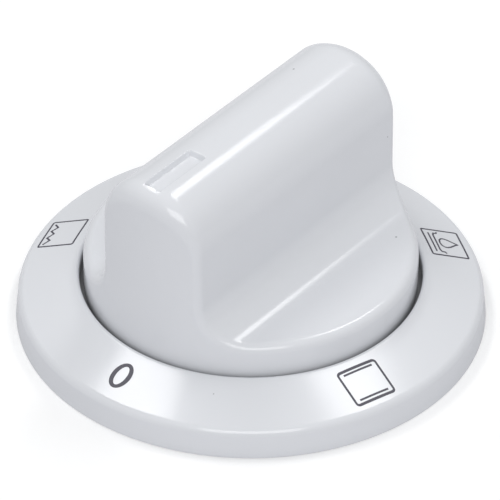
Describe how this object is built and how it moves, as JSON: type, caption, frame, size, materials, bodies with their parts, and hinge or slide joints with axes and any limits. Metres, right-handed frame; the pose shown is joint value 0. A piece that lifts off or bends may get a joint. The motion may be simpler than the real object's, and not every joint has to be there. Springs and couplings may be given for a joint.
{
  "type": "selector knob",
  "caption": "Round push-on selector knob with a tall straight grip, turning in a separate shallow conical dial ring.",
  "frame": {"origin": "on the turning axis, in the plane of the dial ring's flat back, which lies on the appliance's panel", "axes": "+Z points out of the panel along the turning axis, towards the user; at rest the knob's pointing end, with the index groove, looks along -Y; +X is to the side of the grip, across its two scoops"},
  "size_m": [0.066, 0.066, 0.0336],
  "materials": {
    "white_gloss": "moulded, high gloss",
    "natural_nylon": "moulded, matt",
    "spring_steel": "plain",
    "grey_print": "pad-printed ink, slightly raised"
  },
  "bodies": {
    "dial": {"dial_ring": "white_gloss"},
    "knob": {"knob": "white_gloss", "shaft_insert": "natural_nylon", "spring_clip": "spring_steel", "retaining_washer": "spring_steel"}
  },
  "joints": [
    {"name": "knob_turn", "type": "hinge", "parent": "dial", "child": "knob", "pos_m": [0, 0, 0], "axis": [0, 0, 1], "continuous": true}
  ]
}
